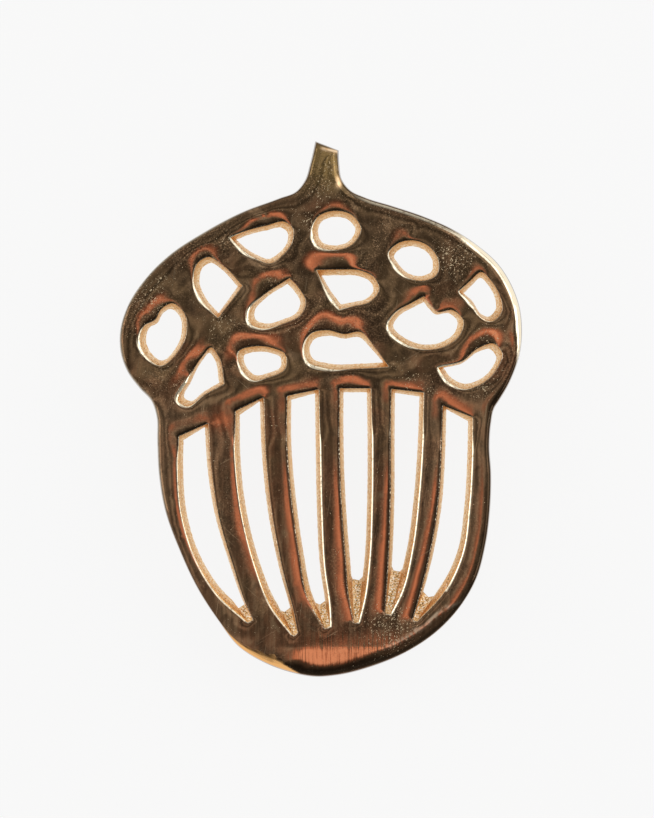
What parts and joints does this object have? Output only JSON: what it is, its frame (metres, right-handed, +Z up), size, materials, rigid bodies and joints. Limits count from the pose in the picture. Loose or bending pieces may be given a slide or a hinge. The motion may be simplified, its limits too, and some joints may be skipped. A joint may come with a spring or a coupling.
{
  "type": "trivet",
  "caption": "Flat openwork trivet in the outline of an acorn, cast in brass with a polished face, on short screw-in feet, for standing a hot pan on a table.",
  "frame": {"origin": "on the table under the middle of the plate's box", "axes": "+Z up through the polished face, +Y along the plate towards the stem tip, +X to the right seen from above"},
  "size_m": [0.1352, 0.18, 0.02],
  "materials": {
    "polished_brass": "polished",
    "turned_brass": "satin",
    "stud_steel": "satin"
  },
  "bodies": {
    "root": {"acorn_plate": "polished_brass", "upper_left_foot": "turned_brass", "upper_right_foot": "turned_brass", "lower_left_foot": "turned_brass", "lower_right_foot": "turned_brass", "upper_left_stud": "stud_steel", "upper_right_stud": "stud_steel", "lower_left_stud": "stud_steel", "lower_right_stud": "stud_steel"}
  },
  "joints": []
}
